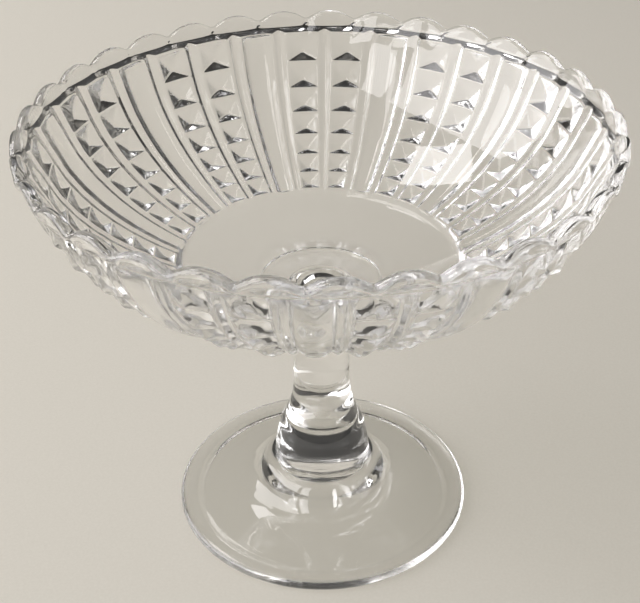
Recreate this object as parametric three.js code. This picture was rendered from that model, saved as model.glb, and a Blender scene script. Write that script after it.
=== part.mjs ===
// A footed dish of clear pressed glass: an open bowl with a scalloped rim, a glass disc that joins it
// to a solid stem, and a round foot that is hollow underneath. Millimetres, +Z up, standing on z = 0,
// with the axis of the dish on the Z axis.

import * as THREE from 'three';

// ---------------------------------------------------------------- driving dimensions

const REPEATS = 33;                      // scallops on the rim, and panels round the bowl
const PANELS_PER_GROUP = 3;              // two diamond panels and then one flute
const FLUTE_IN_GROUP = 1;
const RIM_TURN = THREE.MathUtils.degToRad(-2.62);      // first scallop crest, from +Y
const PATTERN_TURN = THREE.MathUtils.degToRad(-1.45);  // first rib, from +Y

const RIM_TOP = 173.3;                   // height of a scallop crest
const SCALLOP_DEPTH = 3.3;
const SCALLOP_LOBE = 0.77;           // sine of half of the arc that a lobe spans
const RIM_OUTER_RADIUS = 108;
const RIM_WALL = 4.3;
const RIM_ROUNDING = 1.2;

const BOWL_CENTRE_HEIGHT = 175.5;        // centre of the ellipses that shape the bowl
const OUTER_ELLIPSE = { radius: 107.2, height: 74.3 };
const INNER_ELLIPSE = { radius: 100.7, height: 68.1 };
const FLARE_START = 160.3;               // above this the inside runs straight out to the rim

const BAND_BOTTOM = 166.2;               // the plain band under the rim ends here
const BAND_RADIUS = 107.5;
const PATTERN_TOP_ANGLE = THREE.MathUtils.degToRad(81.2);  // down the outer ellipse, from its foot
const FIRST_ROW_ANGLE = THREE.MathUtils.degToRad(9.45);
const ROW_RATIO = 0.9;                   // each row of points is this much of the one above
const ROWS = 7;
const POINT_PLACE = 0.32;                // where a point stands in its row, from the lower edge
const PATTERN_DEPTH = 3;                 // under the band; it lessens towards the floor
const RIB_DEPTH = 1.3;                   // how far a rib's edge lies under the points
const FLUTE_DEPTH = 0.5;
const PATTERN_END_STEP = 1;              // across the step from the pattern to the plain underside
const FLUTE_BEVEL_ANGLE = THREE.MathUtils.degToRad(1.3);   // the bevel at the upper end of a flute
const VALLEY_PLACE = 0.145;              // from a rib to its valley, as a part of one repeat
const FLUTE_FACE_PLACE = 0.38;           // from a rib to the flat face of a flute
const SCALLOP_FLANK_PLACE = 0.27;        // from a crest to the corner on the side of its scallop
const SCALLOP_NOTCH_PLACE = 0.44;        // from a crest to the edge of the notch over a flute

const INSIDE_RADII = [24, 44, 58, 70, 81, 91];   // rings of the facets inside the bowl
const PLAIN_UNDERSIDE_RADIUS = 42;       // a ring of the facets between the pattern and the wafer

const WAFER_RADIUS = 24;
const WAFER_TOP = 104;
const WAFER_BOTTOM = 100.8;
const UNDERSIDE_FLAT_RADIUS = 26;

const STEM_BOTTOM = 20.7;
const STEM_SEGMENTS = 40;

const FOOT_RADIUS = 60;
const FOOT_REST = { inner: 52, outer: 57.2 };
const FOOT_SEGMENTS = 64;

// ---------------------------------------------------------------- shapes the pieces share

const fullTurn = 2 * Math.PI;
const repeatAngle = fullTurn / REPEATS;

function onEllipse(ellipse, angle) {
  return {
    r: ellipse.radius * Math.sin(angle),
    z: BOWL_CENTRE_HEIGHT - ellipse.height * Math.cos(angle),
  };
}

function radiusAtHeight(ellipse, z) {
  const rise = (BOWL_CENTRE_HEIGHT - z) / ellipse.height;
  return ellipse.radius * Math.sqrt(1 - rise * rise);
}

function angleAtRadius(ellipse, r) {
  return Math.asin(r / ellipse.radius);
}

// A point that lies under the outer ellipse by a depth, square to its surface.
function underOuterEllipse(angle, depth) {
  const point = onEllipse(OUTER_ELLIPSE, angle);
  const slope = new THREE.Vector2(
    OUTER_ELLIPSE.height * Math.sin(angle),
    -OUTER_ELLIPSE.radius * Math.cos(angle),
  ).normalize();
  return { r: point.r - slope.x * depth, z: point.z - slope.y * depth };
}

// Height of the rim at a phase of its scallop, from 0 at one crest to 1 at the next: round lobes
// that meet in narrow notches.
function scallopHeight(phase) {
  const fromCrest = 2 * (phase - Math.round(phase));
  const sag = (sine) => 1 - Math.sqrt(1 - sine ** 2);
  const drop = sag(SCALLOP_LOBE * fromCrest) / sag(SCALLOP_LOBE);
  return RIM_TOP - SCALLOP_DEPTH * drop;
}

function glass(name, geometry, color) {
  const material = new THREE.MeshStandardMaterial({ color, roughness: 0.04, metalness: 0 });
  const mesh = new THREE.Mesh(geometry, material);
  mesh.name = name;
  return mesh;
}

function turned(profile, segments) {
  const points = profile.map(([r, z]) => new THREE.Vector2(r, z));
  return new THREE.LatheGeometry(points, segments).rotateX(Math.PI / 2);
}

// ---------------------------------------------------------------- bowl

// The columns of the bowl's surface, once round. Each one has its place in the pattern and its
// place on the rim, as phases of one repeat, and says what part of the pattern it runs along.
function bowlColumns() {
  const columns = [];
  for (let repeat = 0; repeat < REPEATS; repeat += 1) {
    const isFlute = repeat % PANELS_PER_GROUP === FLUTE_IN_GROUP;
    const middle = isFlute
      ? [
        { role: 'flute', pattern: FLUTE_FACE_PLACE, rim: SCALLOP_NOTCH_PLACE },
        { role: 'flute', pattern: 1 - FLUTE_FACE_PLACE, rim: 1 - SCALLOP_NOTCH_PLACE },
      ]
      : [{ role: 'point', pattern: 0.5, rim: 0.5 }];
    const places = [
      { role: 'rib', pattern: 0, rim: 0 },
      { role: 'valley', pattern: VALLEY_PLACE, rim: SCALLOP_FLANK_PLACE },
      ...middle,
      { role: 'valley', pattern: 1 - VALLEY_PLACE, rim: 1 - SCALLOP_FLANK_PLACE },
    ];
    for (const place of places) {
      columns.push({
        role: place.role,
        patternAngle: PATTERN_TURN + (repeat + place.pattern) * repeatAngle,
        rimAngle: RIM_TURN + (repeat + place.rim) * repeatAngle,
        rimHeight: scallopHeight(place.rim),
      });
    }
  }
  return columns;
}

// Depth of a column under the outer ellipse at a station down the pattern. The points' relief says
// how far up its pyramid the station stands: 0 on a row line and 1 at the point itself.
function patternDepth(role, station) {
  const { r } = onEllipse(OUTER_ELLIPSE, station.angle);
  const fading = Math.sqrt(r / OUTER_ELLIPSE.radius);
  const depths = {
    rib: RIB_DEPTH,
    valley: PATTERN_DEPTH,
    flute: station.atTop ? PATTERN_DEPTH : FLUTE_DEPTH,
    point: PATTERN_DEPTH * (1 - station.relief),
  };
  return depths[role] * fading;
}

// The stations down the outer ellipse: the groove under the band, the flutes' upper ends, and then
// each row's points and the row line below them.
function patternStations() {
  const bevelRelief = FLUTE_BEVEL_ANGLE / (FIRST_ROW_ANGLE * (1 - POINT_PLACE));
  const stations = [
    { angle: PATTERN_TOP_ANGLE, relief: 0, atTop: true },
    { angle: PATTERN_TOP_ANGLE - FLUTE_BEVEL_ANGLE, relief: bevelRelief, atTop: false },
  ];
  let upper = PATTERN_TOP_ANGLE;
  let height = FIRST_ROW_ANGLE;
  for (let row = 0; row < ROWS; row += 1) {
    const lower = upper - height;
    stations.push({ angle: lower + height * POINT_PLACE, relief: 1, atTop: false });
    stations.push({ angle: lower, relief: 0, atTop: false });
    upper = lower;
    height *= ROW_RATIO;
  }
  return stations;
}

// Each ring of the surface is a function that places one column's vertex. They run from the middle
// of the floor inside, up the wall, over the rim, and down the outside.
function bowlRings() {
  const rings = [];

  const flareRadius = radiusAtHeight(INNER_ELLIPSE, FLARE_START);
  for (const r of INSIDE_RADII) {
    const { z } = onEllipse(INNER_ELLIPSE, angleAtRadius(INNER_ELLIPSE, r));
    rings.push((column) => ({ angle: column.rimAngle, r, z }));
  }
  rings.push((column) => ({ angle: column.rimAngle, r: flareRadius, z: FLARE_START }));

  const innerLip = RIM_OUTER_RADIUS - RIM_WALL;
  rings.push((column) => ({
    angle: column.rimAngle,
    r: innerLip,
    z: column.rimHeight - RIM_ROUNDING,
  }));
  rings.push((column) => ({
    angle: column.rimAngle,
    r: RIM_OUTER_RADIUS - RIM_WALL / 2,
    z: column.rimHeight,
  }));
  rings.push((column) => ({
    angle: column.rimAngle,
    r: RIM_OUTER_RADIUS,
    z: column.rimHeight - RIM_ROUNDING,
  }));

  rings.push((column) => ({ angle: column.patternAngle, r: BAND_RADIUS, z: BAND_BOTTOM }));
  const stations = patternStations();
  for (const station of stations) {
    rings.push((column) => ({
      angle: column.patternAngle,
      ...underOuterEllipse(station.angle, patternDepth(column.role, station)),
    }));
  }

  const patternEnd = stations[stations.length - 1].angle;
  const plainStart = onEllipse(OUTER_ELLIPSE, patternEnd).r - PATTERN_END_STEP;
  for (const r of [plainStart, PLAIN_UNDERSIDE_RADIUS]) {
    const { z } = onEllipse(OUTER_ELLIPSE, angleAtRadius(OUTER_ELLIPSE, r));
    rings.push((column) => ({ angle: column.patternAngle, r, z }));
  }
  rings.push((column) => ({
    angle: column.patternAngle,
    r: UNDERSIDE_FLAT_RADIUS,
    z: WAFER_TOP,
  }));
  return rings;
}

function bowlGeometry() {
  const columns = bowlColumns();
  const rings = bowlRings();
  const positions = [];
  const faces = [];

  for (const ring of rings) {
    for (const column of columns) {
      const { angle, r, z } = ring(column);
      positions.push(-r * Math.sin(angle), r * Math.cos(angle), z);
    }
  }
  const insideCentre = positions.length / 3;
  positions.push(0, 0, onEllipse(INNER_ELLIPSE, 0).z);
  const undersideCentre = insideCentre + 1;
  positions.push(0, 0, WAFER_TOP);

  const lastRing = (rings.length - 1) * columns.length;
  for (let i = 0; i < columns.length; i += 1) {
    const next = (i + 1) % columns.length;
    faces.push(insideCentre, i, next);
    faces.push(undersideCentre, lastRing + next, lastRing + i);
    for (let ring = 0; ring < rings.length - 1; ring += 1) {
      const here = ring * columns.length;
      const beyond = here + columns.length;
      faces.push(here + i, beyond + i, here + next);
      faces.push(here + next, beyond + i, beyond + next);
    }
  }

  const geometry = new THREE.BufferGeometry();
  geometry.setAttribute('position', new THREE.Float32BufferAttribute(positions, 3));
  geometry.setIndex(faces);
  geometry.computeVertexNormals();
  return geometry;
}

// ---------------------------------------------------------------- wafer, stem and foot

function waferGeometry() {
  const middle = (WAFER_TOP + WAFER_BOTTOM) / 2;
  const edge = (WAFER_TOP - WAFER_BOTTOM) / 2;
  const profile = [[0, WAFER_BOTTOM]];
  const steps = 4;
  for (let i = 0; i <= steps; i += 1) {
    const turn = Math.PI * (i / steps - 0.5);
    profile.push([WAFER_RADIUS - edge + edge * Math.cos(turn), middle + edge * Math.sin(turn)]);
  }
  profile.push([0, WAFER_TOP]);
  return turned(profile, STEM_SEGMENTS);
}

// The stem is a solid rod that swells to the foot, and a little to the wafer.
function stemGeometry() {
  const side = new THREE.SplineCurve([
    new THREE.Vector2(19.5, STEM_BOTTOM),
    new THREE.Vector2(18.9, 29.3),
    new THREE.Vector2(17, 38.5),
    new THREE.Vector2(13.4, 47),
    new THREE.Vector2(11.6, 54.5),
    new THREE.Vector2(11.1, 69),
    new THREE.Vector2(11.2, 88.5),
    new THREE.Vector2(11.6, WAFER_BOTTOM),
  ]);
  const outline = side.getPoints(14).map((point) => [point.x, point.y]);
  return turned([[0, STEM_BOTTOM], ...outline, [0, WAFER_BOTTOM]], STEM_SEGMENTS);
}

// The foot stands on a narrow ring. Its underside rises to a hollow dome below the stem, and its
// upper side carries a rounded collar round the end of the stem.
function footGeometry() {
  const hollow = [[0, 13.4], [6, 11.8], [12, 9.9], [18, 7.9], [25, 5.8], [33, 3.9], [42, 2.5], [50, 1.4]];
  const rest = [[FOOT_REST.inner, 0], [FOOT_REST.outer, 0]];
  const edge = [[59.4, 0.9], [FOOT_RADIUS, 2.4], [59.4, 4], [57.4, 4.9], [54.3, 4.8]];
  const upper = [[52.4, 4.2], [48.8, 4.85], [44, 5.8], [38, 7.2], [33.2, 8.9], [29.6, 11]];
  const collar = [[27.2, 13.4], [25.7, 16], [24.6, 18.3], [23.2, 20.2], [21.4, 21.2], [20.1, STEM_BOTTOM]];
  const profile = [...hollow, ...rest, ...edge, ...upper, ...collar, [0, STEM_BOTTOM]];
  return turned(profile, FOOT_SEGMENTS);
}

// ---------------------------------------------------------------- assembly

const dish = new THREE.Group();
dish.add(
  glass('bowl', bowlGeometry(), 0xe9ece6),
  glass('wafer', waferGeometry(), 0xdfe4de),
  glass('stem', stemGeometry(), 0xe4e8e2),
  glass('foot', footGeometry(), 0xe6eae4),
);

export default dish;
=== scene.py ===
"""A footed dish of clear pressed glass, standing on a pale floor in soft studio light.

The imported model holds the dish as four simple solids: bowl, wafer, stem and foot. Each one is
replaced here by a fine glass piece of the same size, in the same place. Lengths are millimetres
until a mesh is made; the meshes are in metres.
"""

import math

import bpy
import numpy as np
from mathutils import Matrix, Vector


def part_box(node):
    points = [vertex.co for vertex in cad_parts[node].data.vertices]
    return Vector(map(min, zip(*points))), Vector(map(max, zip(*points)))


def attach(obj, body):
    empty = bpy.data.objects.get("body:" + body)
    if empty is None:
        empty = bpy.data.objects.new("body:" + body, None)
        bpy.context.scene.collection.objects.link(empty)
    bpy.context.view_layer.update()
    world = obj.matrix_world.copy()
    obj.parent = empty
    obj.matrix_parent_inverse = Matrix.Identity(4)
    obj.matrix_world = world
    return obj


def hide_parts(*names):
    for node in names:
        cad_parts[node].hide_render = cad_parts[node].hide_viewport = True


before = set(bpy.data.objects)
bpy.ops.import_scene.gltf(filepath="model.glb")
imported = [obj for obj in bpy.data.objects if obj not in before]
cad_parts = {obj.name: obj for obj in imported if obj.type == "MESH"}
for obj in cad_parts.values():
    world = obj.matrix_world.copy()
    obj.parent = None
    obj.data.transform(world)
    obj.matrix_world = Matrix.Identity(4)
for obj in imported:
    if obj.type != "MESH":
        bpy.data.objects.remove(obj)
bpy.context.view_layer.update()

MM = 0.001

# ------------------------------------------------------------------ sizes read from the frame


def box_mm(node):
    """A node's lowest and highest corners, in millimetres."""
    low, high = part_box(node)
    return np.array(low) / MM, np.array(high) / MM


bowl_low, bowl_high = box_mm("bowl")
wafer_low, wafer_high = box_mm("wafer")
stem_low, stem_high = box_mm("stem")
foot_low, foot_high = box_mm("foot")

RIM_TOP = bowl_high[2]
RIM_RADIUS = bowl_high[0]
WAFER_RADIUS = wafer_high[0]
WAFER_TOP = wafer_high[2]
WAFER_BOTTOM = wafer_low[2]
STEM_TOP = stem_high[2]
STEM_BOTTOM = stem_low[2]
FOOT_RADIUS = foot_high[0]

# ------------------------------------------------------------------ the bowl's own dimensions

REPEATS = 33                             # scallops, and panels
PANELS_PER_GROUP = 3                     # two diamond panels, and one flute between them
FLUTE_IN_GROUP = 1                       # the flute's place in a group, from 0
RIM_TURN = math.radians(-2.62)           # first scallop crest, from +Y
PATTERN_TURN = math.radians(-1.45)       # first rib, from +Y

SCALLOP_DEPTH = 3.3
SCALLOP_LOBE = 0.77                      # sine of half the arc that a scallop's lobe spans
NOTCH_ROUNDING = 0.12                    # as a part of half a repeat
RIM_WALL = 4.3
RIM_CAP = 1.9                            # height of the rounded top of the wall
RIM_STEPS = 9                            # mesh rows over the rounded top

ELLIPSE_CENTRE = 175.5                   # height of the centre of the bowl's two ellipses
OUTER_ELLIPSE = (107.2, 74.3)            # half width and half height
INNER_ELLIPSE = (100.7, 68.1)
FLARE_START = 160.3                      # above this the inside runs straight out to the rim

BAND_BOTTOM = 166.2                      # of the plain band between the rim and the pattern
BAND_SHARES = (1.0, 0.8, 0.55, 0.3)      # places of mesh rows on its lower facet, 1 at the top
PATTERN_TOP_ANGLE = math.radians(81.2)   # up the outer ellipse, from its lowest point
FIRST_ROW_ANGLE = math.radians(9.45)     # height of the topmost row of points, as an angle
ROW_RATIO = 0.9                          # of a row's height to that of the row above it
ROWS = 7
POINT_PLACE = 0.32                       # where a point stands in its row, from the lower edge
PATTERN_DEPTH = 3.0
RIB_DEPTH = 1.3                          # how far a rib's ridge lies under the band
FLUTE_DEPTH = 0.5                        # how far a flute's middle lies under the band
FLUTE_ROUNDING = 2.6                     # power of a flute's cross-section: 2 is a parabola
FLUTE_BEVEL = 1.7                        # length of the bevel at the upper end of a flute
VALLEY_PLACE = 0.145                     # from a rib to its valley, as a part of one repeat
END_STEP = 1.2                           # length of the step where the pattern ends below
UNDERSIDE_RISE = 2.2                     # how fast the underside leaves the wafer's level
POINT_ROUNDING = 0.10                    # how blunt the points are, as a part of their depth
EDGE_ROUNDING = 0.12                     # fire polish, where ribs and panels meet

RIB_COLUMNS = 3                          # mesh columns from a rib to its valley
PANEL_COLUMNS = 7                        # mesh columns from a valley to the panel's middle
BETWEEN = (0.25, 0.5, 0.75)              # places of mesh rows between two given ones
FLOOR_RADII = (6, 14)                    # of the mesh rows inside the joint's edge
INNER_STEPS = 15                         # mesh rows from the joint's edge to the flare
UNDERSIDE_STEPS = 8                      # mesh rows from the pattern to the joint's edge

# ------------------------------------------------------------------ dimensions of the other pieces

ROUND_SEGMENTS = 192                     # of wafer, stem and foot
JOINT_RADIUS = 0.93 * WAFER_RADIUS       # of the flat disc where wafer and bowl are fused
WAFER_EDGE = 0.4                         # power of the wafer's edge: 1 is half an ellipse, 0 is square
STEM_SIDE = [                            # upwards, to a small fillet under the wafer
    (19.5, STEM_BOTTOM), (19.4, 24.5), (18.8, 29.6), (17.0, 38.1), (14.2, 44.8),
    (12.3, 50.6), (11.4, 57.0), (11.1, 69.0), (11.2, 86.5), (11.25, 96.0), (11.5, 99.4),
    (12.6, STEM_TOP),
]
HOLLOW_TOP = 13.4                        # of the dome under the foot, from the table

# ------------------------------------------------------------------ meshes


def make_piece(name, vertices, triangles, joint_triangles=()):
    """A smooth-shaded object from points in millimetres. Joint triangles take the second slot."""
    mesh = bpy.data.meshes.new(name)
    mesh.from_pydata(vertices * MM, [], triangles)
    mesh.polygons.foreach_set("use_smooth", np.ones(len(triangles), dtype=bool))
    if len(joint_triangles):
        slots = np.zeros(len(triangles), dtype=np.int32)
        slots[joint_triangles] = 1
        mesh.polygons.foreach_set("material_index", slots)
    mesh.validate()
    mesh.update()
    piece = bpy.data.objects.new(name, mesh)
    bpy.context.scene.collection.objects.link(piece)
    return piece


def smooth_line(points, steps):
    """Points along a Catmull-Rom curve through the given ones."""
    points = np.array(points, dtype=float)
    first = 2 * points[0] - points[1]
    last = 2 * points[-1] - points[-2]
    padded = np.vstack([first, points, last])
    line = []
    for i in range(len(points) - 1):
        a, b, c, d = padded[i:i + 4]
        for t in np.linspace(0, 1, steps, endpoint=False):
            line.append(0.5 * (2 * b + (c - a) * t + (2 * a - 5 * b + 4 * c - d) * t ** 2
                               + (3 * b - a - 3 * c + d) * t ** 3))
    line.append(points[-1])
    return [tuple(point) for point in line]


def turned(name, outline, joints=()):
    """A solid of revolution from its outline, given from the axis, round the outside, to the axis.

    joints holds the indexes of the outline's flat stretches that are fused to a neighbour.
    """
    outline = np.array(outline)
    radii = outline[1:-1, 0]
    heights = outline[1:-1, 1]
    turn = np.linspace(0, 2 * np.pi, ROUND_SEGMENTS, endpoint=False)
    rings = np.stack([np.outer(radii, np.cos(turn)), np.outer(radii, np.sin(turn)),
                      np.repeat(heights[:, None], ROUND_SEGMENTS, axis=1)], axis=-1)
    poles = np.array([[0, 0, outline[0, 1]], [0, 0, outline[-1, 1]]])
    vertices = np.vstack([rings.reshape(-1, 3), poles])
    bottom_pole = len(vertices) - 2
    top_pole = len(vertices) - 1
    triangles = []
    stretches = []
    for i in range(ROUND_SEGMENTS):
        j = (i + 1) % ROUND_SEGMENTS
        triangles.append((bottom_pole, j, i))
        stretches.append(0)
        for row in range(len(radii) - 1):
            here = row * ROUND_SEGMENTS
            beyond = here + ROUND_SEGMENTS
            triangles.append((here + i, here + j, beyond + j))
            triangles.append((here + i, beyond + j, beyond + i))
            stretches += [row + 1, row + 1]
        last = (len(radii) - 1) * ROUND_SEGMENTS
        triangles.append((top_pole, last + i, last + j))
        stretches.append(len(radii))
    fused = [i for i, stretch in enumerate(stretches) if stretch in joints]
    return make_piece(name, vertices, triangles, fused)


# ------------------------------------------------------------------ bowl


def soft_greater(a, b, width):
    """The greater of two heights, with the corner between them rounded."""
    return 0.5 * (a + b + np.sqrt((a - b) ** 2 + width ** 2))


def soft_lesser(a, b, width):
    """The lesser of two heights, with the corner between them rounded."""
    return -soft_greater(-a, -b, width)


def on_ellipse(ellipse, angle):
    """The (r, z) of a point on an ellipse, at an angle from its lowest point."""
    return ellipse[0] * np.sin(angle), ELLIPSE_CENTRE - ellipse[1] * np.cos(angle)


def ellipse_radius(ellipse, z):
    """How far out an ellipse is at a height."""
    return ellipse[0] * math.sqrt(1 - ((ELLIPSE_CENTRE - z) / ellipse[1]) ** 2)


def ellipse_angle(ellipse, r):
    """The angle at which an ellipse is this far out."""
    return math.asin(r / ellipse[0])


def arc_places(count):
    """Places from 0 to 1 that lie closer together towards both ends."""
    even = np.linspace(0, 1, count + 1)
    return 0.5 * even + 0.5 * (0.5 - 0.5 * np.cos(np.pi * even))


def repeat_phases():
    """The phases of the mesh columns in one repeat, from one rib to just before the next."""
    rib = np.linspace(0, VALLEY_PLACE, RIB_COLUMNS + 1)
    half_panel = VALLEY_PLACE + (0.5 - VALLEY_PLACE) * arc_places(PANEL_COLUMNS)
    first_half = np.concatenate([rib, half_panel[1:]])
    second_half = 1 - first_half[-2:0:-1]
    return np.concatenate([first_half, second_half])


def arc_sag(sine):
    """How far an arc of radius 1 has dropped from its crest at a distance to the side."""
    return 1 - np.sqrt(1 - sine ** 2)


def scallop_height(phase):
    """Height of the rim at a phase of one repeat: round lobes that meet in narrow, round notches."""
    to_notch = 1 - 2 * np.abs(phase - np.round(phase))
    along = 1 - np.hypot(to_notch, NOTCH_ROUNDING) / math.hypot(1, NOTCH_ROUNDING)
    end = 1 - NOTCH_ROUNDING / math.hypot(1, NOTCH_ROUNDING)
    drop = arc_sag(SCALLOP_LOBE * along) / arc_sag(SCALLOP_LOBE * end)
    return RIM_TOP - SCALLOP_DEPTH * drop


def row_lines():
    """The angles of the lines between the rows of points, down the outer ellipse."""
    heights = FIRST_ROW_ANGLE * ROW_RATIO ** np.arange(ROWS)
    return PATTERN_TOP_ANGLE - np.concatenate([[0], np.cumsum(heights)])


def pattern_stations():
    """Each mesh row down the pattern: its angle on the ellipse, and how far it lies from its point.

    The distance is 0 at the point and 1 on the row lines above and below it. It goes by the same
    places as the columns, so the pyramids' edges run along the mesh.
    """
    lines = row_lines()
    places = arc_places(PANEL_COLUMNS)
    angles = [lines[0]]
    distances = [1.0]
    for upper, lower in zip(lines[:-1], lines[1:]):
        point = lower + (upper - lower) * POINT_PLACE
        falling = places[1:]
        rising = places[::-1][1:]
        angles += list(upper + (point - upper) * (1 - rising))
        distances += list(rising)
        angles += list(point + (lower - point) * falling)
        distances += list(falling)
    return np.array(angles), np.array(distances)


def panel_height(across, from_point, below_groove, is_flute, depth):
    """Height of a panel's relief, with 0 at the outer ellipse and less further in.

    across is 0 at the panel's middle and 1 at its valleys. below_groove is the distance, in
    millimetres, under the groove at the top of the pattern.
    """
    if is_flute:
        crown = FLUTE_DEPTH + (depth - FLUTE_DEPTH) * across ** FLUTE_ROUNDING
        bevel = -depth + depth * below_groove / FLUTE_BEVEL
        return soft_lesser(-crown, bevel, EDGE_ROUNDING)
    steepness = np.maximum(across, from_point)
    blunt = np.sqrt(steepness ** 2 + POINT_ROUNDING ** 2) - POINT_ROUNDING
    return -depth * blunt / (math.sqrt(1 + POINT_ROUNDING ** 2) - POINT_ROUNDING)


def rib_height(phase, depth):
    """Height of the ribs: a ridge at each end of the repeat that falls straight to its valleys."""
    from_rib = np.minimum(phase, 1 - phase) / VALLEY_PLACE
    rounded = np.sqrt(from_rib ** 2 + EDGE_ROUNDING ** 2) - EDGE_ROUNDING
    return -RIB_DEPTH - (depth - RIB_DEPTH) * rounded


def relief_row(angle, height):
    """Points at a height over the outer ellipse, square to it."""
    r, z = on_ellipse(OUTER_ELLIPSE, angle)
    normal = np.array([OUTER_ELLIPSE[1] * math.sin(angle), -OUTER_ELLIPSE[0] * math.cos(angle)])
    normal /= np.linalg.norm(normal)
    return np.stack([r + normal[0] * height, z + normal[1] * height], axis=-1)


def outer_rows(phases, is_flute):
    """Rows of (r, z) down the outside for one repeat's columns, from the band to the underside.

    The first rows cross the plain band's lower facet, and the last ones the step where the pattern
    meets the plain underside.
    """
    across = np.clip(np.abs(phases - 0.5) / (0.5 - VALLEY_PLACE), 0, 1)
    rows = []

    top_angle = PATTERN_TOP_ANGLE
    band_angle = math.acos((ELLIPSE_CENTRE - BAND_BOTTOM) / OUTER_ELLIPSE[1])
    for share in BAND_SHARES:
        angle = top_angle + (band_angle - top_angle) * share
        facet = np.full(len(phases), -PATTERN_DEPTH * (1 - share))
        height = soft_greater(facet, rib_height(phases, PATTERN_DEPTH), EDGE_ROUNDING)
        rows.append(relief_row(angle, np.minimum(height, 0)))

    angles, distances = pattern_stations()
    for angle, distance in zip(angles, distances):
        r, z = on_ellipse(OUTER_ELLIPSE, angle)
        depth = PATTERN_DEPTH * math.sqrt(r / OUTER_ELLIPSE[0])
        below_groove = (top_angle - angle) * r
        panel = panel_height(across, distance, below_groove, is_flute, depth)
        height = soft_greater(panel, rib_height(phases, depth), EDGE_ROUNDING)
        rows.append(relief_row(angle, height))

    end_angle = angles[-1]
    end_radius = on_ellipse(OUTER_ELLIPSE, end_angle)[0]
    for share in (0.5, 1.0):
        angle = end_angle - share * END_STEP / end_radius
        step = np.full(len(phases), -PATTERN_DEPTH * (1 - share))
        rows.append(relief_row(angle, step))
    return rows


def rim_rows(phases, band_foot):
    """Rows of (r, z, twist) from inside the rim over its rounded top and down to the band's foot."""
    crest = scallop_height(phases)
    middle = RIM_RADIUS - RIM_WALL / 2
    rows = []
    for turn in np.linspace(-90, 90, RIM_STEPS):
        sideways = math.sin(math.radians(turn))
        upwards = math.cos(math.radians(turn))
        r = np.full(len(phases), middle + RIM_WALL / 2 * sideways)
        rows.append(np.stack([r, crest - RIM_CAP * (1 - upwards), np.ones(len(phases))], axis=-1))
    outside = rows[-1]
    foot = np.concatenate([band_foot, np.zeros((len(phases), 1))], axis=-1)
    for share in BETWEEN:
        rows.append(outside + (foot - outside) * share)
    return rows


def inner_rows(phases):
    """Rows of (r, z) from the middle of the floor up to the flare under the rim."""
    flare_radius = ellipse_radius(INNER_ELLIPSE, FLARE_START)
    radii = np.concatenate([FLOOR_RADII, np.linspace(JOINT_RADIUS, flare_radius, INNER_STEPS)])
    rows = []
    for r in radii:
        z = on_ellipse(INNER_ELLIPSE, ellipse_angle(INNER_ELLIPSE, r))[1]
        rows.append(np.stack([np.full(len(phases), r), np.full(len(phases), z)], axis=-1))
    return rows


def underside_rows(phases, end_radius):
    """Rows of (r, z) from the end of the pattern to the fused disc. The last one is its edge."""
    rows = []
    for r in np.linspace(end_radius, JOINT_RADIUS, UNDERSIDE_STEPS + 1)[1:]:
        z = on_ellipse(OUTER_ELLIPSE, ellipse_angle(OUTER_ELLIPSE, r))[1]
        share = (r - JOINT_RADIUS) / (end_radius - JOINT_RADIUS)
        level = WAFER_TOP + (z - WAFER_TOP) * min(1, UNDERSIDE_RISE * share)
        rows.append(np.stack([np.full(len(phases), r), np.full(len(phases), level)], axis=-1))
    return rows


def flare_rows(phases, lower, upper):
    """Rows between the top of the inner ellipse and the rim, which bring in the rim's twist."""
    start = np.concatenate([lower, np.zeros((len(phases), 1))], axis=-1)
    return [start + (upper - start) * share for share in BETWEEN]


def repeat_rows(phases, is_flute):
    """All rows of one repeat, as (r, z, twist), from the floor inside to the underside."""
    def untwisted(rows):
        return [np.concatenate([row, np.zeros((len(phases), 1))], axis=-1) for row in rows]

    outside = outer_rows(phases, is_flute)
    rim = rim_rows(phases, outside[0])
    inside = inner_rows(phases)
    flare = flare_rows(phases, inside[-1], rim[0])
    end_radius = on_ellipse(OUTER_ELLIPSE, row_lines()[-1])[0] - END_STEP
    underside = underside_rows(phases, end_radius)
    return np.array(untwisted(inside) + flare + rim + untwisted(outside) + untwisted(underside))


def diagonal_flags(phases, row_count, pattern_start):
    """True where a mesh square is cut from its upper right to its lower left corner.

    In the pattern the cuts point at the nearest pyramid's point, so they follow its edges.
    """
    flags = np.zeros((row_count - 1, len(phases)), dtype=bool)
    right_half = phases >= 0.5
    rows_per_point = 2 * PANEL_COLUMNS
    for row in range(ROWS * rows_per_point):
        upper = (row % rows_per_point) < PANEL_COLUMNS
        flags[pattern_start + row] = right_half if upper else ~right_half
    return flags


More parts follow.
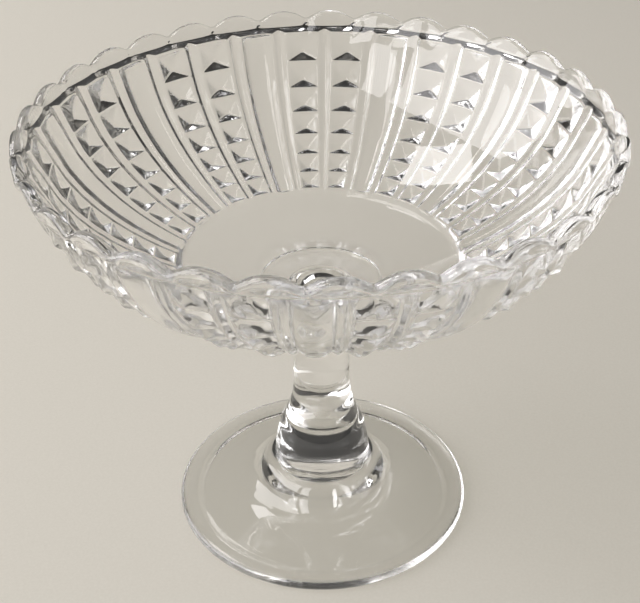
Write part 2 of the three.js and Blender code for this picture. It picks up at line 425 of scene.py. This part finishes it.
def build_bowl():
    """The bowl: rows of points round its wall, repeat by repeat, and a pole at each end."""
    phases = repeat_phases()
    columns = len(phases)
    row_count = len(repeat_rows(phases, False))
    rim_count = len(BETWEEN) + RIM_STEPS + len(BETWEEN)
    pattern_start = len(inner_rows(phases)) + rim_count + len(BAND_SHARES)
    rows = np.zeros((row_count, REPEATS * columns, 3))
    flags = np.zeros((row_count - 1, REPEATS * columns), dtype=bool)
    repeat_angle = 2 * math.pi / REPEATS
    for repeat in range(REPEATS):
        is_flute = repeat % PANELS_PER_GROUP == FLUTE_IN_GROUP
        block = repeat_rows(phases, is_flute)
        turn = PATTERN_TURN + (repeat + phases) * repeat_angle
        angle = turn + (RIM_TURN - PATTERN_TURN) * block[:, :, 2]
        span = slice(repeat * columns, (repeat + 1) * columns)
        rows[:, span, 0] = -block[:, :, 0] * np.sin(angle)
        rows[:, span, 1] = block[:, :, 0] * np.cos(angle)
        rows[:, span, 2] = block[:, :, 1]
        flags[:, span] = diagonal_flags(phases, row_count, pattern_start)

    total = REPEATS * columns
    floor_height = on_ellipse(INNER_ELLIPSE, 0.0)[1]
    poles = np.array([[0, 0, floor_height], [0, 0, WAFER_TOP]])
    vertices = np.vstack([rows.reshape(-1, 3), poles])
    floor_pole = row_count * total
    under_pole = floor_pole + 1

    i = np.arange(total)
    j = (i + 1) % total
    row = np.arange(row_count - 1)[:, None] * total
    a, b, c, d = row + i, row + j, row + total + i, row + total + j
    first = np.where(flags[..., None], np.stack([a, c, d], -1), np.stack([a, c, b], -1))
    second = np.where(flags[..., None], np.stack([a, d, b], -1), np.stack([b, c, d], -1))
    floor_fan = np.stack([np.full(total, floor_pole), i, j], -1)
    last = (row_count - 1) * total
    under_fan = np.stack([np.full(total, under_pole), last + j, last + i], -1)
    triangles = np.vstack([first.reshape(-1, 3), second.reshape(-1, 3), floor_fan, under_fan])
    joints = np.arange(len(triangles) - total, len(triangles))
    return make_piece("glass_bowl", vertices, triangles, joints)


# ------------------------------------------------------------------ wafer, stem and foot


def build_wafer():
    """The disc between bowl and stem, its edge barely rounded. Its middle is fused on both sides."""
    half = (WAFER_TOP - WAFER_BOTTOM) / 2
    middle = (WAFER_TOP + WAFER_BOTTOM) / 2
    edge = []
    for turn in np.linspace(-90, 90, 13):
        out = math.cos(math.radians(turn)) ** WAFER_EDGE
        height = middle + half * math.sin(math.radians(turn))
        edge.append((JOINT_RADIUS + (WAFER_RADIUS - JOINT_RADIUS) * out, height))
    stem_top_radius = STEM_SIDE[-1][0]
    outline = [(0, WAFER_BOTTOM), (stem_top_radius, WAFER_BOTTOM)] + edge + [(0, WAFER_TOP)]
    return turned("glass_wafer", outline, joints=(0, len(outline) - 2))


def build_stem():
    """The solid stem. Both its ends are fused."""
    side = smooth_line(STEM_SIDE, 8)
    outline = [(0, STEM_BOTTOM)] + side + [(0, STEM_TOP)]
    return turned("glass_stem", outline, joints=(0, len(outline) - 2))


def build_foot():
    """The foot: a hollow dome underneath, a narrow ring to stand on, a rolled edge and a collar."""
    hollow = smooth_line(
        [(0.4, HOLLOW_TOP), (6.0, 11.8), (12.0, 9.9), (18.0, 7.9), (25.0, 5.8), (33.0, 3.9),
         (42.0, 2.5), (50.0, 1.4)], 8)
    rest = smooth_line([(52.0, 0.0), (57.2, 0.0)], 3)
    edge = smooth_line(
        [(59.2, 0.7), (FOOT_RADIUS, 2.3), (59.5, 4.0), (57.5, 4.95), (54.7, 4.8), (52.9, 4.25)], 6)
    upper = smooth_line(
        [(52.3, 4.3), (48.8, 4.85), (44.0, 5.8), (38.0, 7.2), (33.2, 8.9), (29.6, 11.0)], 6)
    collar = smooth_line(
        [(27.2, 13.4), (25.7, 16.0), (24.6, 18.3), (23.2, 20.2), (21.7, 21.1), (20.5, 21.05),
         STEM_SIDE[0]], 6)
    outline = [(0, HOLLOW_TOP)] + hollow + rest + edge + upper + collar + [(0, STEM_BOTTOM)]
    return turned("glass_foot", outline, joints=(len(outline) - 2,))


# ------------------------------------------------------------------ materials

GLASS_IOR = 1.52
GLASS_TINT = (0.985, 0.985, 0.98)
PASSED_LIGHT = (0.91, 0.91, 0.90)        # what a wall of glass lets through of a lamp's light
RUBBED_RADII = (0.0535, 0.0550)          # metres: where the rubbing starts, and where it is full
RUBBED_HEIGHTS = (0.0020, 0.0008)        # metres: none above the first, full below the second
BOARD_TONES = ((0.64, 0.61, 0.53), (0.70, 0.67, 0.59))


def new_material(name):
    material = bpy.data.materials.new(name)
    material.use_nodes = True
    material.node_tree.nodes.clear()
    return material, material.node_tree.nodes, material.node_tree.links


def let_light_through(nodes, links, glass):
    """Glass that passes the light of the lamps on to what stands behind it, a little dimmed."""
    path = nodes.new("ShaderNodeLightPath")
    clear = nodes.new("ShaderNodeBsdfTransparent")
    clear.inputs["Color"].default_value = (*PASSED_LIGHT, 1)
    surface = glass.outputs["BSDF"]
    for ray in ("Is Shadow Ray", "Is Diffuse Ray"):
        mix = nodes.new("ShaderNodeMixShader")
        links.new(path.outputs[ray], mix.inputs[0])
        links.new(surface, mix.inputs[1])
        links.new(clear.outputs["BSDF"], mix.inputs[2])
        surface = mix.outputs["Shader"]
    return surface


def rubbed_ring(nodes, links, place):
    """A mask, 1 on the underside near the foot's edge, where years on tables have rubbed it dull."""
    split = nodes.new("ShaderNodeSeparateXYZ")
    links.new(place.outputs["Object"], split.inputs["Vector"])
    flat = nodes.new("ShaderNodeVectorMath")
    flat.operation = "MULTIPLY"
    flat.inputs[1].default_value = (1, 1, 0)
    links.new(place.outputs["Object"], flat.inputs[0])
    radius = nodes.new("ShaderNodeVectorMath")
    radius.operation = "LENGTH"
    links.new(flat.outputs["Vector"], radius.inputs[0])
    far_out = nodes.new("ShaderNodeMapRange")
    far_out.inputs["From Min"].default_value = RUBBED_RADII[0]
    far_out.inputs["From Max"].default_value = RUBBED_RADII[1]
    links.new(radius.outputs["Value"], far_out.inputs["Value"])
    low = nodes.new("ShaderNodeMapRange")
    low.inputs["From Min"].default_value = RUBBED_HEIGHTS[0]
    low.inputs["From Max"].default_value = RUBBED_HEIGHTS[1]
    links.new(split.outputs["Z"], low.inputs["Value"])
    both = nodes.new("ShaderNodeMath")
    both.operation = "MULTIPLY"
    links.new(far_out.outputs["Result"], both.inputs[0])
    links.new(low.outputs["Result"], both.inputs[1])
    return both


def glass_material(name, wave_size, wave_height, grain_size, grain_height, rubbed=False):
    """Clear glass with the slow waves and fine grain that a mould leaves under the fire polish.

    Sizes and heights are metres. rubbed adds the dull ring under the foot.
    """
    material, nodes, links = new_material(name)
    output = nodes.new("ShaderNodeOutputMaterial")
    glass = nodes.new("ShaderNodeBsdfPrincipled")
    glass.inputs["Base Color"].default_value = (*GLASS_TINT, 1)
    glass.inputs["Transmission Weight"].default_value = 1.0
    glass.inputs["IOR"].default_value = GLASS_IOR
    links.new(let_light_through(nodes, links, glass), output.inputs["Surface"])

    place = nodes.new("ShaderNodeTexCoord")
    waves = nodes.new("ShaderNodeTexNoise")
    waves.inputs["Scale"].default_value = 1 / wave_size
    waves.inputs["Detail"].default_value = 1.5
    grain = nodes.new("ShaderNodeTexNoise")
    grain.inputs["Scale"].default_value = 1 / grain_size
    grain.inputs["Detail"].default_value = 3.0
    links.new(place.outputs["Object"], waves.inputs["Vector"])
    links.new(place.outputs["Object"], grain.inputs["Vector"])

    slow = nodes.new("ShaderNodeBump")
    slow.inputs["Strength"].default_value = 1.0
    slow.inputs["Distance"].default_value = wave_height
    links.new(waves.outputs["Fac"], slow.inputs["Height"])
    fine = nodes.new("ShaderNodeBump")
    fine.inputs["Strength"].default_value = 1.0
    fine.inputs["Distance"].default_value = grain_height
    links.new(grain.outputs["Fac"], fine.inputs["Height"])
    links.new(slow.outputs["Normal"], fine.inputs["Normal"])
    links.new(fine.outputs["Normal"], glass.inputs["Normal"])

    gloss = nodes.new("ShaderNodeMapRange")
    gloss.inputs["From Min"].default_value = 0.3
    gloss.inputs["From Max"].default_value = 0.8
    gloss.inputs["To Min"].default_value = 0.0
    gloss.inputs["To Max"].default_value = 0.03
    links.new(grain.outputs["Fac"], gloss.inputs["Value"])
    if not rubbed:
        links.new(gloss.outputs["Result"], glass.inputs["Roughness"])
        return material
    scratches = nodes.new("ShaderNodeMapRange")
    scratches.inputs["From Min"].default_value = 0.35
    scratches.inputs["From Max"].default_value = 0.65
    scratches.inputs["To Min"].default_value = 0.05
    scratches.inputs["To Max"].default_value = 0.25
    links.new(grain.outputs["Fac"], scratches.inputs["Value"])
    blend = nodes.new("ShaderNodeMix")
    links.new(rubbed_ring(nodes, links, place).outputs["Value"], blend.inputs["Factor"])
    links.new(gloss.outputs["Result"], blend.inputs["A"])
    links.new(scratches.outputs["Result"], blend.inputs["B"])
    links.new(blend.outputs["Result"], glass.inputs["Roughness"])
    return material


def fused_material():
    """The faces inside a fused joint, where the glass runs on with nothing to see."""
    material, nodes, links = new_material("fused_glass")
    output = nodes.new("ShaderNodeOutputMaterial")
    clear = nodes.new("ShaderNodeBsdfTransparent")
    links.new(clear.outputs["BSDF"], output.inputs["Surface"])
    return material


def floor_material():
    """Pale matt board, with a very fine grain."""
    material, nodes, links = new_material("pale_board")
    output = nodes.new("ShaderNodeOutputMaterial")
    board = nodes.new("ShaderNodeBsdfPrincipled")
    board.inputs["Roughness"].default_value = 0.9
    board.inputs["Specular IOR Level"].default_value = 0.1
    place = nodes.new("ShaderNodeTexCoord")
    speckle = nodes.new("ShaderNodeTexNoise")
    speckle.inputs["Scale"].default_value = 900.0
    tones = nodes.new("ShaderNodeValToRGB")
    tones.color_ramp.elements[0].color = (*BOARD_TONES[0], 1)
    tones.color_ramp.elements[1].color = (*BOARD_TONES[1], 1)
    links.new(place.outputs["Object"], speckle.inputs["Vector"])
    links.new(speckle.outputs["Fac"], tones.inputs["Fac"])
    links.new(tones.outputs["Color"], board.inputs["Base Color"])
    links.new(board.outputs["BSDF"], output.inputs["Surface"])
    return material


# ------------------------------------------------------------------ stage, light and camera

FLOOR_RADIUS = 0.85                      # metres, as are all lengths from here on
FLOOR_SEGMENTS = 96
FLOOR_GAP = 0.0002                       # the air under the foot's resting ring

DAYLIGHT = (1.0, 0.98, 0.99)
WALL_DISTANCE = 2.5
WALL_BEARING = math.radians(118)         # from +Y towards the left
WALL_PANES = [("window_near", -1.95, -1.11), ("window_far", -0.81, 4.0)]
PANE_BOTTOM = 0.56
PANE_TOP = 3.56
PANE_STRENGTH = 4.8
SKYLIGHT_PLACE = Vector((-0.48, 0.26, 0.84)) * 2.5
SKYLIGHT_SIDE = 0.8
SKYLIGHT_STRENGTH = 7.0
ROOM_LOW = (0.03, 0.028, 0.025)          # the dim room near the floor
ROOM_HIGH = (0.06, 0.06, 0.06)           # and overhead

CAMERA_DISTANCE = 0.41021                # in front of the axis
CAMERA_HEIGHT = 0.36501
CAMERA_PITCH = math.radians(33.281)      # downwards
CAMERA_YAW = math.radians(-0.052)
CAMERA_ROLL = math.radians(-0.530)
CAMERA_LENS = 71.44                      # millimetres
CAMERA_SENSOR = 36                       # millimetres

BOUNCES = 32                             # for light that is caught in the glass


def build_floor():
    turn = np.linspace(0, 2 * np.pi, FLOOR_SEGMENTS, endpoint=False)
    points = [(FLOOR_RADIUS * math.cos(t), FLOOR_RADIUS * math.sin(t), -FLOOR_GAP) for t in turn]
    mesh = bpy.data.meshes.new("floor")
    mesh.from_pydata(points, [], [tuple(range(FLOOR_SEGMENTS))])
    floor = bpy.data.objects.new("floor", mesh)
    bpy.context.scene.collection.objects.link(floor)
    floor.data.materials.append(floor_material())


def add_window(name, place, facing, size, strength):
    """A soft rectangular light at a place, which shines along a direction."""
    light = bpy.data.lights.new(name, "AREA")
    light.shape = "RECTANGLE"
    light.size, light.size_y = size
    light.energy = strength * size[0] * size[1] * math.pi
    light.color = DAYLIGHT
    lamp = bpy.data.objects.new(name, light)
    lamp.location = place
    lamp.rotation_euler = (-Vector(facing)).to_track_quat("Z", "Y").to_euler()
    lamp.visible_camera = False
    bpy.context.scene.collection.objects.link(lamp)


def light_stage():
    """Tall windows on the left, and a skylight."""
    outwards = Vector((-math.sin(WALL_BEARING), math.cos(WALL_BEARING), 0))
    along = Vector((outwards.y, -outwards.x, 0))
    for name, start, end in WALL_PANES:
        place = outwards * WALL_DISTANCE + along * (start + end) / 2
        place.z = (PANE_BOTTOM + PANE_TOP) / 2
        size = (end - start, PANE_TOP - PANE_BOTTOM)
        add_window(name, place, -outwards, size, PANE_STRENGTH)
    side = (SKYLIGHT_SIDE, SKYLIGHT_SIDE)
    add_window("skylight", SKYLIGHT_PLACE, -SKYLIGHT_PLACE, side, SKYLIGHT_STRENGTH)


def add_room():
    """The dim room that the glass mirrors where no window stands."""
    world = bpy.data.worlds.new("studio")
    bpy.context.scene.world = world
    world.use_nodes = True
    nodes, links = world.node_tree.nodes, world.node_tree.links
    nodes.clear()
    output = nodes.new("ShaderNodeOutputWorld")
    background = nodes.new("ShaderNodeBackground")
    place = nodes.new("ShaderNodeTexCoord")
    split = nodes.new("ShaderNodeSeparateXYZ")
    tones = nodes.new("ShaderNodeValToRGB")
    tones.color_ramp.elements[0].position = 0.45
    tones.color_ramp.elements[0].color = (*ROOM_LOW, 1)
    tones.color_ramp.elements[1].position = 1.0
    tones.color_ramp.elements[1].color = (*ROOM_HIGH, 1)
    half = nodes.new("ShaderNodeMapRange")
    half.inputs["From Min"].default_value = -1.0
    links.new(place.outputs["Generated"], split.inputs["Vector"])
    links.new(split.outputs["Z"], half.inputs["Value"])
    links.new(half.outputs["Result"], tones.inputs["Fac"])
    links.new(tones.outputs["Color"], background.inputs["Color"])
    links.new(background.outputs["Background"], output.inputs["Surface"])


def set_look():
    """Colours straight from the light, and enough bounces for light that is caught in the glass."""
    scene = bpy.context.scene
    scene.view_settings.view_transform = "Standard"
    scene.cycles.max_bounces = BOUNCES
    scene.cycles.glossy_bounces = BOUNCES
    scene.cycles.transmission_bounces = BOUNCES
    scene.cycles.transparent_max_bounces = BOUNCES


def add_camera():
    camera = bpy.data.objects.new("camera", bpy.data.cameras.new("camera"))
    camera.data.lens = CAMERA_LENS
    camera.data.sensor_width = CAMERA_SENSOR
    forward = Vector((math.sin(CAMERA_YAW) * math.cos(CAMERA_PITCH),
                      math.cos(CAMERA_YAW) * math.cos(CAMERA_PITCH),
                      -math.sin(CAMERA_PITCH)))
    level = Vector((math.cos(CAMERA_YAW), -math.sin(CAMERA_YAW), 0))
    upright = level.cross(forward)
    right = level * math.cos(CAMERA_ROLL) + upright * math.sin(CAMERA_ROLL)
    up = right.cross(forward)
    turn = Matrix((right, up, -forward)).transposed().to_4x4()
    camera.matrix_world = Matrix.Translation((0, -CAMERA_DISTANCE, CAMERA_HEIGHT)) @ turn
    bpy.context.scene.collection.objects.link(camera)
    bpy.context.scene.camera = camera


# ------------------------------------------------------------------ the whole scene


def finish_piece(piece, node, material, fused):
    """Give a piece its glass and its joint faces, and put it in the place of its CAD node."""
    piece.data.materials.append(material)
    piece.data.materials.append(fused)
    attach(piece, "root")
    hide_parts(node)


add_camera()
set_look()
build_floor()
light_stage()
add_room()

pressed = glass_material("pressed_glass", 0.022, 0.00006, 0.0035, 0.000004)
plain = glass_material("plain_glass", 0.03, 0.00005, 0.004, 0.000003)
worn = glass_material("worn_glass", 0.03, 0.00005, 0.0012, 0.000004, rubbed=True)
fused = fused_material()

finish_piece(build_bowl(), "bowl", pressed, fused)
finish_piece(build_wafer(), "wafer", plain, fused)
finish_piece(build_stem(), "stem", plain, fused)
finish_piece(build_foot(), "foot", worn, fused)
